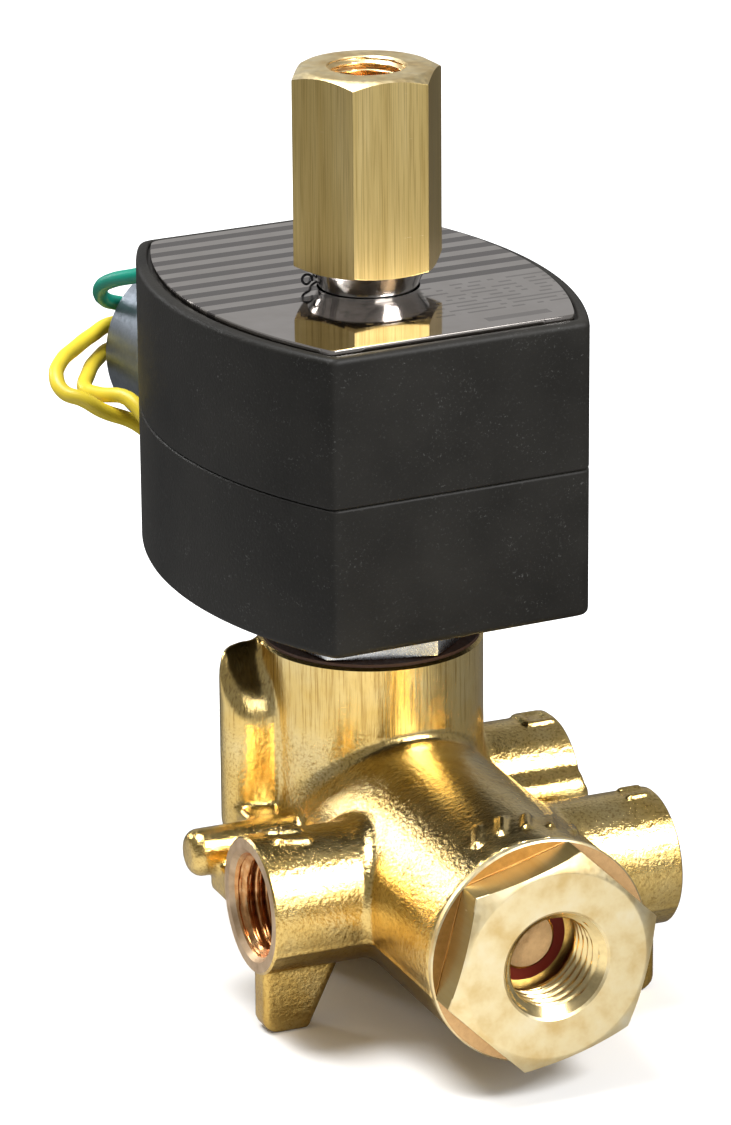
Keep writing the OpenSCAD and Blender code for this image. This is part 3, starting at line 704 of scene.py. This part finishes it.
LEAD_D = 2.1
COIL_CENTRE = (33.6, 70.4)
COIL_ENTRY, COIL_R, COIL_PITCH, COIL_TURNS, COIL_FLOOR = 250, 15.8, 2.15, 4.3, 0.5
TURN_POINTS = 20
ROUTES = {
    "yellow_lead_1": [
        (-3, 38.4, 69.5), (-3, 43, 69.5), (-3, 48, 69.6), (-3.6, 53, 69.8), (-5.6, 57.6, 70.3),
        (-9.2, 60.2, 70.6), (-13.2, 58.8, 69.8), (-17, 56, 69.2), (-20.4, 53, 68.6),
        (-22.4, 50, 67.4), (-22.3, 47.6, 66), (-20.4, 46, 65.2), (-17.8, 45.4, 63.4),
        (-12.8, 45.8, 60.8), (-8.5, 45.8, 56.8), (-2.8, 46.8, 52), (3.6, 48.8, 47),
        (9.2, 52, 41.5), (13.3, 56.5, 35), (15.6, 60, 27), (16.2, 61, 19.2), (16, 61.4, 12),
        (17, 60.6, 5.8), (19.4, 58.9, 2.2), (23.4, 57.3, 1.55)],
    "yellow_lead_2": [
        (0, 38.4, 65), (0, 43, 65), (-0.4, 48, 65.2), (-1.8, 53, 65.8), (-5, 57.6, 66.8),
        (-9.4, 59.8, 67.2), (-13.1, 57.6, 66.6), (-16, 54, 65.9), (-17.9, 50.6, 65),
        (-17, 47.8, 64.9), (-14.6, 44.3, 65), (-13.3, 41.6, 63), (-12, 40, 59.3), (-8.5, 40.4, 54),
        (-2, 42.4, 49.2), (5, 44.8, 45.6), (11, 49, 41.5), (15.2, 54.8, 35.5), (17.2, 58.8, 28),
        (18.4, 59.7, 20.4), (17.9, 60.4, 14), (18.4, 59.6, 9), (19.2, 58.4, 5.4), (21.4, 57.2, 4),
        (24.6, 55.9, 3.65)],
    "green_lead": [
        (3, 38.4, 69.5), (3, 43, 69.6), (2.4, 48, 70), (0.4, 53, 70.8), (-3.6, 57.8, 72.4),
        (-8, 59.7, 73.3), (-11.6, 57.8, 75), (-13.7, 54, 78), (-13.6, 50, 80), (-12.2, 46, 81.4),
        (-9.4, 42.8, 82.6), (-4.6, 41.4, 82.4), (1, 41.4, 82.4), (8.4, 42.6, 80),
        (12.8, 44.2, 74.4), (14.4, 45.6, 67.5), (14.4, 47, 60), (15, 48.8, 52.5),
        (16.6, 51.2, 45), (18.2, 54.4, 37.5), (19.8, 57.8, 29.5), (20.4, 59, 21.6),
        (20.4, 59.2, 16.4), (21, 58.8, 12), (22.4, 57.9, 8.2), (24.4, 57, 6.1)]}


def spiral(turn, layer):
    """A point on a lead's flat spiral, so many turns in from its outer end."""
    reach = COIL_R - COIL_PITCH * turn
    angle = math.radians(COIL_ENTRY + 360 * turn)
    return (COIL_CENTRE[0] + reach * math.cos(angle), COIL_CENTRE[1] + reach * math.sin(angle),
            COIL_FLOOR + LEAD_D * (layer + 0.5))


def lead_line(name, layer):
    """The whole run of a lead: its route from the hub and then the turns of its coil."""
    count = round(COIL_TURNS * TURN_POINTS)
    coil = [spiral(COIL_TURNS * i / count, layer) for i in range(count + 1)]
    return [TO_HOUSING @ (Vector(p) * MM) for p in ROUTES[name] + coil]


def make_lead_end(name, layer, material):
    """Twisted bare strands, bent inward from the spiral's inner end."""
    tip = Vector(spiral(COIL_TURNS, layer))
    onward = (tip - Vector(spiral(COIL_TURNS - 0.02, layer))).normalized()
    inward = (Vector((*COIL_CENTRE, tip.z)) - tip).normalized()
    way = (0.6 * onward + 0.8 * inward).normalized()
    angles = np.linspace(0, TAU, 56, endpoint=False)
    strands, twist, length, radius = 7, 0.55, 6.4, 0.55
    profile = [(radius * (0.82 + 0.18 * np.abs(np.cos(strands / 2 * angles + twist * h))), h)
               for h in np.linspace(1.4, 1.4 + length, 40)]
    place = TO_HOUSING @ place_at(tip * MM, way)
    piece = turned(name + "_strands", profile, place, angles, looped=False)
    return done(piece, "housing", "copper", material, name + "_end")


def make_leads(yellow, green, copper):
    for layer, name in enumerate(ROUTES):
        is_green = name.startswith("green")
        points = lead_line(name, layer)
        piece = wire(name + "_wire", points, LEAD_D / 2)
        done(piece, "housing", "green_insulation" if is_green else "yellow_insulation",
             green if is_green else yellow, name, name + "_coil")
        held = [make_lead_end(name, layer, copper)]
        if layer == 0:
            held.append(frame["nodes"]["lead_tie"])


# ---------------------------------------------------------------- materials

class Finish:
    """A Principled material with its texture nodes."""

    def __init__(self, name, colour, rough, metal=0.0, **sockets):
        self.material = bpy.data.materials.new(name)
        self.material.use_nodes = True
        self.nodes = self.material.node_tree.nodes
        self.links = self.material.node_tree.links
        self.shader = self.nodes["Principled BSDF"]
        self.shader.inputs["Base Color"].default_value = (*colour, 1)
        self.shader.inputs["Roughness"].default_value = rough
        self.shader.inputs["Metallic"].default_value = metal
        for key, value in sockets.items():
            self.shader.inputs[key.replace("_", " ")].default_value = value
        self.coords = self.nodes.new("ShaderNodeTexCoord").outputs["Object"]

    def node(self, kind, settings=None, **inputs):
        made = self.nodes.new(kind)
        for key, value in (settings or {}).items():
            setattr(made, key, value)
        for key, value in inputs.items():
            socket = made.inputs[int(key[1:]) if key[0] == "i" and key[1:].isdigit() else key]
            if isinstance(value, bpy.types.NodeSocket):
                self.links.new(value, socket)
            else:
                socket.default_value = value
        return made

    def noise(self, size_mm, detail=3, rough=0.55, stretch=(1, 1, 1), turn=0.0):
        """Noise whose features are about size_mm across, drawn out along an axis by stretch."""
        scale = tuple(1 / (size_mm * MM * s) for s in stretch)
        mapped = self.node("ShaderNodeMapping", Vector=self.coords, Scale=scale,
                           Rotation=(0, 0, turn)).outputs[0]
        return self.node("ShaderNodeTexNoise", Vector=mapped, Scale=1.0, Detail=detail,
                         Roughness=rough).outputs[0]

    def ramp(self, factor, *stops):
        made = self.node("ShaderNodeValToRGB", Fac=factor)
        ramp = made.color_ramp
        while len(ramp.elements) < len(stops):
            ramp.elements.new(0.5)
        for element, (place, colour) in zip(ramp.elements, stops):
            element.position = place
            element.color = (*colour, 1)
        return made.outputs[0]

    def grey(self, factor, low_at, high_at, low, high):
        return self.node("ShaderNodeMapRange", Value=factor, i1=low_at, i2=high_at, i3=low,
                         i4=high).outputs[0]

    def math(self, what, a, b=0.0):
        return self.node("ShaderNodeMath", {"operation": what}, i0=a, i1=b).outputs[0]

    def mix(self, factor, a, b):
        made = self.node("ShaderNodeMix", {"data_type": "RGBA"}, i0=factor)
        for socket, value in ((6, a), (7, b)):
            if isinstance(value, bpy.types.NodeSocket):
                self.links.new(value, made.inputs[socket])
            else:
                made.inputs[socket].default_value = (*value, 1)
        return made.outputs[2]

    def set(self, key, value):
        self.links.new(value, self.shader.inputs[key])

    def bump(self, height, depth_mm, strength=1.0):
        made = self.node("ShaderNodeBump", Height=height, Distance=depth_mm * MM, Strength=strength)
        current = self.shader.inputs["Normal"]
        if current.is_linked:
            self.links.new(current.links[0].from_socket, made.inputs["Normal"])
        self.links.new(made.outputs[0], current)


def cast_brass():
    """Cast brass with a satin grain, drawn upward on the column, and painted shade: its colour darker and
    browner low on the body.
    """
    f = Finish("cast_brass", (0.90, 0.67, 0.26), 0.22, 1.0)
    height = f.node("ShaderNodeSeparateXYZ", Vector=f.coords).outputs[2]
    cloud = f.noise(8, 4)
    # Painted shade: the darker, browner ramp low on the body blends into the brighter one higher up.
    high = f.ramp(cloud, (0.32, (0.84, 0.58, 0.18)), (0.52, (0.91, 0.68, 0.27)), (0.75, (0.94, 0.76, 0.38)))
    low = f.ramp(cloud, (0.32, (0.62, 0.38, 0.09)), (0.52, (0.80, 0.54, 0.16)), (0.75, (0.88, 0.66, 0.27)))
    colour = f.mix(f.grey(height, 10 * MM, 26 * MM, 0.0, 1.0), low, high)
    on_column = f.grey(height, 31 * MM, 35 * MM, 0.0, 1.0)
    fine = f.noise(0.42, 4, 0.7)
    drawn = f.noise(0.34, 4, 0.65, stretch=(1, 1, 26))
    grain = f.node("ShaderNodeMix", {"data_type": "FLOAT"}, i0=on_column, i2=fine, i3=drawn).outputs[0]
    f.set("Base Color", f.mix(f.grey(grain, 0.36, 0.50, 0.6, 0.0), colour, (0.42, 0.24, 0.06)))
    f.set("Roughness", f.grey(f.noise(2.5, 4), 0.3, 0.7, 0.15, 0.24))
    relief = f.node("ShaderNodeMix", {"data_type": "FLOAT"}, i0=on_column, i2=f.noise(0.7, 4, 0.65),
                    i3=f.grey(drawn, 0, 1, 0.3, 0.7)).outputs[0]
    f.bump(relief, 0.095, 1.0)
    f.bump(f.noise(1.4, 2), 0.06, 0.45)
    return f.material


def machined_brass():
    """Pale mottled brass of a turned face."""
    f = Finish("machined_brass", (0.90, 0.73, 0.41), 0.38, 1.0)
    mottle = f.noise(4.5, 4, 0.55)
    f.set("Base Color", f.ramp(mottle, (0.28, (0.76, 0.55, 0.24)), (0.5, (0.90, 0.74, 0.42)),
                               (0.72, (0.96, 0.85, 0.59))))
    f.set("Roughness", f.grey(f.noise(0.8, 4), 0.3, 0.7, 0.32, 0.44))
    f.bump(f.noise(0.3, 2), 0.015, 0.5)
    return f.material


def drawn_brass(name="drawn_brass", along=2, tone=1.0):
    """Hexagon bar: fine lines along it and a few light scratches."""
    shades = [tuple(tone * v for v in colour)
              for colour in ((0.58, 0.42, 0.15), (0.66, 0.50, 0.20), (0.74, 0.58, 0.27))]
    f = Finish(name, (0.66, 0.50, 0.20), 0.36, 1.0)
    lines = f.noise(0.16, 3, 0.6, stretch=[90 if axis == along else 1 for axis in range(3)])
    broad = f.noise(2.4, 3, 0.5, stretch=[16 if axis == along else 1 for axis in range(3)])
    colour = f.ramp(broad, *zip((0.32, 0.55, 0.75), shades))
    colour = f.mix(f.grey(lines, 0.38, 0.52, 0.5, 0), colour, (0.34, 0.23, 0.07))
    nicks = f.noise(1.6, 6, 0.7, stretch=(2.5, 2.5, 0.35), turn=0.5)
    f.set("Base Color", f.mix(f.grey(nicks, 0.69, 0.73, 0.0, 0.6), colour, (0.96, 0.88, 0.62)))
    f.set("Roughness", f.grey(lines, 0.3, 0.7, 0.32, 0.42))
    f.bump(lines, 0.012, 0.6)
    return f.material


def machined_face():
    """Matte pinkish-brown ring of a freshly faced port."""
    f = Finish("faced_brass", (0.62, 0.44, 0.27), 0.42, 1.0)
    f.set("Base Color", f.ramp(f.noise(2.4, 4), (0.3, (0.45, 0.30, 0.17)), (0.7, (0.70, 0.52, 0.34))))
    f.bump(f.noise(0.4, 2), 0.02, 0.5)
    return f.material


def bore_brass(name, colour):
    """Fresh bright brass of a bore, turned round its axis; also the near-black painted shade under the
    exhaust adapter's hexagon.
    """
    f = Finish(name, colour, 0.2, 1.0)
    dark = tuple(c * 0.7 for c in colour)
    f.set("Base Color", f.mix(f.grey(f.noise(0.8, 3), 0.35, 0.65, 0.5, 0.0), colour, dark))
    f.bump(f.noise(0.25, 2), 0.01, 0.5)
    return f.material


def thread_brass():
    """Copper-brown walls of the pipe threads."""
    f = Finish("thread_brass", (0.62, 0.32, 0.12), 0.27, 1.0)
    f.set("Base Color", f.ramp(f.noise(1.2, 4), (0.3, (0.48, 0.20, 0.06)), (0.55, (0.70, 0.36, 0.14)),
                               (0.75, (0.85, 0.58, 0.30))))
    return f.material


def epoxy():
    """Black moulded epoxy with faint dust and scuffs."""
    f = Finish("housing_epoxy", (0.0125, 0.0118, 0.0102), 0.46, Specular_IOR_Level=0.2)
    cloud = f.noise(14, 4)
    colour = f.ramp(cloud, (0.3, (0.008, 0.0074, 0.0062)), (0.7, (0.018, 0.0168, 0.0145)))
    dust = f.noise(0.35, 5, 0.75)
    scuff = f.noise(6, 5, 0.65, stretch=(1, 1, 0.5))
    speck = f.math("MULTIPLY", f.grey(dust, 0.58, 0.66, 0, 0.7), f.grey(scuff, 0.50, 0.66, 0.2, 1))
    f.set("Base Color", f.mix(speck, colour, (0.12, 0.12, 0.115)))
    f.set("Roughness", f.grey(cloud, 0.3, 0.7, 0.44, 0.56))
    f.bump(f.noise(0.4, 2, 0.5), 0.06, 0.6)
    f.bump(f.noise(3.5, 3), 0.09, 0.3)
    return f.material


def foil():
    """Mirror-like taupe foil: dark stripes across its rear, rows of short plain dashes in front of them."""
    f = Finish("nameplate_foil", (0.70, 0.65, 0.61), 0.08, 1.0)
    turned_back = f.node("ShaderNodeMapping", {"vector_type": "TEXTURE"}, Vector=f.coords,
                         Rotation=(0, 0, TURN)).outputs[0]
    place = f.node("ShaderNodeSeparateXYZ", Vector=turned_back)
    x, y = place.outputs[0], place.outputs[1]
    tint = f.ramp(f.noise(5, 3), (0.3, (0.66, 0.61, 0.57)), (0.7, (0.75, 0.70, 0.665)))
    wave = f.math("FRACT", f.math("DIVIDE", f.math("ADD", y, 42 * MM), 3.9 * MM))
    stripe = f.math("MULTIPLY", f.math("LESS_THAN", wave, 0.5), f.math("GREATER_THAN", y, -3 * MM))
    row_at = f.math("DIVIDE", f.math("ADD", y, 40 * MM), 1.5 * MM)
    along = f.node("ShaderNodeCombineXYZ", X=f.math("DIVIDE", x, 0.9 * MM), Y=row_at).outputs[0]
    cell = f.node("ShaderNodeVectorMath", {"operation": "FLOOR"}, i0=along).outputs[0]
    chance = f.node("ShaderNodeTexWhiteNoise", {"noise_dimensions": "2D"}, Vector=cell).outputs[0]
    dash = f.math("MULTIPLY", f.math("LESS_THAN", f.math("FRACT", row_at), 0.36),
                  f.math("GREATER_THAN", chance, 0.34))
    dash = f.math("MULTIPLY", dash, f.math("LESS_THAN", y, -4.5 * MM))
    dash = f.math("MULTIPLY", dash, f.math("GREATER_THAN", y, -18 * MM))
    dash = f.math("MULTIPLY", dash, f.math("GREATER_THAN", x, -9 * MM))
    bar = f.math("MULTIPLY", f.math("LESS_THAN", f.math("ABSOLUTE", f.math("ADD", y, 21 * MM)), 0.8 * MM),
                 f.math("LESS_THAN", f.math("ABSOLUTE", f.math("SUBTRACT", x, 10.5 * MM)), 4.5 * MM))
    marked = f.math("MAXIMUM", f.math("MULTIPLY", f.math("MAXIMUM", dash, bar), 0.55), stripe)
    f.set("Base Color", f.mix(marked, tint, (0.27, 0.245, 0.235)))
    f.set("Roughness", f.grey(marked, 0, 1, 0.06, 0.20))
    f.bump(marked, 0.01, 0.3)
    f.bump(f.noise(9, 2), 0.04, 0.2)
    return f.material


def steel(name, colour, rough, grain=0.35):
    """A plain metal with a little cloud in its tone and grain."""
    f = Finish(name, colour, rough, 1.0)
    dark = tuple(c * 0.72 for c in colour)
    f.set("Base Color", f.mix(f.grey(f.noise(1.8, 4), 0.35, 0.7, 0.6, 0.0), colour, dark))
    f.set("Roughness", f.grey(f.noise(grain, 3), 0.3, 0.7, rough * 0.8, rough * 1.3))
    f.bump(f.noise(grain, 2), 0.015, 0.5)
    return f.material


def plastic(name, colour, rough, depth=0.02):
    """A plain plastic or rubber with a faint texture."""
    f = Finish(name, colour, rough)
    dark = tuple(c * 0.75 for c in colour)
    f.set("Base Color", f.mix(f.grey(f.noise(4, 4), 0.35, 0.7, 0.5, 0.0), colour, dark))
    f.set("Roughness", f.grey(f.noise(0.6, 3), 0.3, 0.7, rough * 0.85, min(rough * 1.2, 1)))
    f.bump(f.noise(0.5, 3), depth, 0.5)
    return f.material


# ---------------------------------------------------------------- stage

ROOM_LEVEL = 0.22                                 # the room's brightness beside the softboxes


def softbox(name, place, target, size, power):
    data = bpy.data.lights.new(name, "AREA")
    data.shape = "RECTANGLE"
    data.size, data.size_y = size
    data.energy = power
    lamp = link(name, data)
    lamp.location = place
    lamp.rotation_mode = "QUATERNION"
    lamp.rotation_quaternion = (Vector(target) - Vector(place)).to_track_quat("-Z", "Y")


def make_stage():
    """White paper and a pale sky to the camera; to the object, a dimmer room lit by softboxes, and paper
    whose colour holds painted shade, darker away from the object and to its right."""
    world = bpy.data.worlds.new("studio")
    bpy.context.scene.world = world
    world.use_nodes = True
    nodes, links = world.node_tree.nodes, world.node_tree.links
    seen = nodes.new("ShaderNodeLightPath").outputs["Is Camera Ray"]
    level = nodes.new("ShaderNodeMapRange")
    level.inputs["To Min"].default_value = ROOM_LEVEL
    level.inputs["To Max"].default_value = 1.0
    links.new(seen, level.inputs["Value"])
    links.new(level.outputs[0], nodes["Background"].inputs["Strength"])
    nodes["Background"].inputs["Color"].default_value = (1, 1, 1, 1)
    mesh = bpy.data.meshes.new("floor")
    mesh.from_pydata([(-6, -6, 0), (6, -6, 0), (6, 6, 0), (-6, 6, 0)], [], [(0, 1, 2, 3)])
    floor = link("floor", mesh)
    paper = Finish("paper", (0.92, 0.92, 0.92), 0.9)
    shade = paper.node("ShaderNodeLightPath").outputs["Is Camera Ray"]
    # Painted shade on the floor as the object sees it: darker away from the object and to its right.
    away = paper.node("ShaderNodeVectorMath", {"operation": "DISTANCE"}, i0=paper.coords,
                      i1=(0.05, -0.12, 0)).outputs["Value"]
    aside = paper.node("ShaderNodeVectorMath", {"operation": "DOT_PRODUCT"}, i0=paper.coords,
                       i1=(0.85, 0.53, 0)).outputs["Value"]
    lit = paper.math("MULTIPLY", paper.grey(away, 0.10, 0.40, 0.52, 0.20),
                     paper.grey(aside, -0.05, 0.02, 1.0, 0.16))
    level = paper.node("ShaderNodeCombineColor", i0=lit, i1=lit, i2=lit).outputs[0]
    paper.set("Base Color", paper.mix(shade, level, (0.95, 0.95, 0.95)))
    floor.data.materials.append(paper.material)
    middle = (0, 0, 0.05)
    softbox("overhead", (-0.3, 0.15, 1.1), middle, (0.6, 0.6), 18)
    softbox("key", (0.45, -0.72, 0.85), middle, (0.5, 0.4), 14)
    softbox("backdrop", (0.55, 1.35, 0.6), middle, (1.8, 0.7), 0.6)
    softbox("fill", (0.25, -1.1, 0.5), middle, (0.8, 0.4), 3)
    softbox("rim", (-0.55, 1.05, 0.42), middle, (0.2, 0.4), 2.6)


# ---------------------------------------------------------------- assembly

def bevelled(piece, width_mm):
    """Softens a piece's sharp edges."""
    step = piece.modifiers.new("edge", "BEVEL")
    step.width = width_mm * MM
    step.segments = 2
    step.limit_method = "ANGLE"
    step.angle_limit = math.radians(50)


def finish_cad_nodes(finishes):
    """Every CAD node that still shows gets its finish and softened edges."""
    slots = {s["node"]: s["material_slot"] for s in frame["record"]["subparts"]}
    for name, piece in frame["nodes"].items():
        if piece.hide_render:
            continue
        piece.data.materials.clear()
        piece.data.materials.append(finishes[slots[name]])
        smooth(piece.data, 30)
        if "spring" not in name:
            bevelled(piece, 0.12)


def main():
    make_camera()
    finishes = {
        "cast_brass": cast_brass(), "machined_brass": machined_brass(), "drawn_brass": drawn_brass(),
        "housing_epoxy": epoxy(), "nameplate_foil": foil(),
        "seal_rubber": plastic("seal_rubber", (0.02, 0.02, 0.02), 0.6),
        "disc_rubber": plastic("disc_rubber", (0.28, 0.025, 0.01), 0.5),
        "gasket": plastic("gasket", (0.10, 0.045, 0.025), 0.6),
        "bobbin_plastic": plastic("bobbin_plastic", (0.75, 0.70, 0.58), 0.45),
        "yellow_insulation": plastic("yellow_insulation", (0.86, 0.66, 0.04), 0.42, 0.01),
        "green_insulation": plastic("green_insulation", (0.0, 0.25, 0.17), 0.42, 0.01),
        "plated_steel": steel("plated_steel", (0.72, 0.74, 0.76), 0.26),
        "stainless_steel": steel("stainless_steel", (0.62, 0.61, 0.60), 0.28),
        "polished_steel": steel("polished_steel", (0.70, 0.69, 0.67), 0.13, 1.2),
        "dark_steel": steel("dark_steel", (0.04, 0.04, 0.045), 0.35),
        "copper": steel("copper", (0.80, 0.40, 0.22), 0.3),
        "zinc": steel("zinc", (0.24, 0.27, 0.31), 0.42, 0.5),
    }
    make_leads(finishes["yellow_insulation"], finishes["green_insulation"], finishes["copper"])
    make_body(finishes["cast_brass"], machined_face(), thread_brass())
    make_end_cap(finishes["machined_brass"], bore_brass("cap_bore_brass", (0.90, 0.70, 0.34)),
                 bore_brass("flange_brass", (0.74, 0.45, 0.20)), drawn_brass("cap_side_brass", 1, 0.55))
    # The exhaust adapter's underside colour is painted shade, a near-black brass.
    make_adapter(finishes["drawn_brass"], bore_brass("adapter_bore_brass", (0.90, 0.58, 0.24)),
                 finishes["machined_brass"], bore_brass("painted_shade_foot_brass", (0.16, 0.12, 0.07)))
    make_disc_washer(bore_brass("washer_brass", (0.64, 0.40, 0.18)))
    make_base_hex(finishes["plated_steel"])
    make_collar(finishes["polished_steel"])
    make_clip(finishes["dark_steel"])
    make_housing(finishes["housing_epoxy"])
    make_nameplate(finishes["nameplate_foil"])
    make_hub(finishes["zinc"])
    finish_cad_nodes(finishes)
    make_stage()
    bpy.context.scene.view_settings.view_transform = "Standard"


main()
